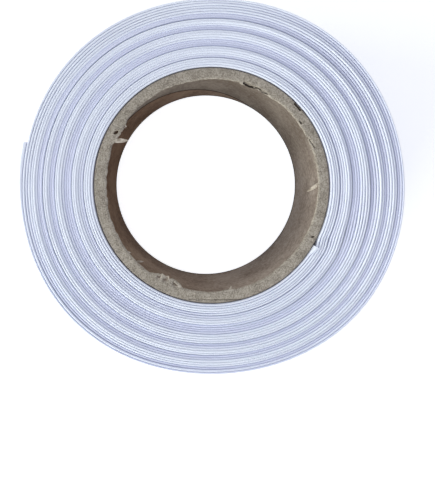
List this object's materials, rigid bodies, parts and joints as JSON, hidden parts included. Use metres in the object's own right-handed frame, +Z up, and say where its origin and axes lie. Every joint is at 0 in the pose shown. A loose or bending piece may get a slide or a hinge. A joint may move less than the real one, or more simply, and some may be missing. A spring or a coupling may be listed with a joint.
{
  "type": "roll of bias tape",
  "caption": "Roll of white satin single-fold bias tape wound flat on a plain paperboard core, lying on its side; the bore takes a spindle.",
  "frame": {"origin": "on the core's axis, at the height of the surface that the roll lies on; the roll is a little out of round, so the middle of its box is within 0.5 mm of the axis", "axes": "+Z up along the core's axis, out of the face that shows; seen from above the tape winds outwards clockwise, and its outer end lies at 167 degrees anticlockwise from +X"},
  "size_m": [0.1373, 0.1338, 0.0311],
  "materials": {
    "paperboard": "matt grey-brown spiral-wound paperboard",
    "white_satin": "bluish-white polyester satin, soft sheen"
  },
  "bodies": {
    "root": {"core": "paperboard", "tape_winding": "white_satin", "tape_outer_end": "white_satin"}
  },
  "joints": []
}
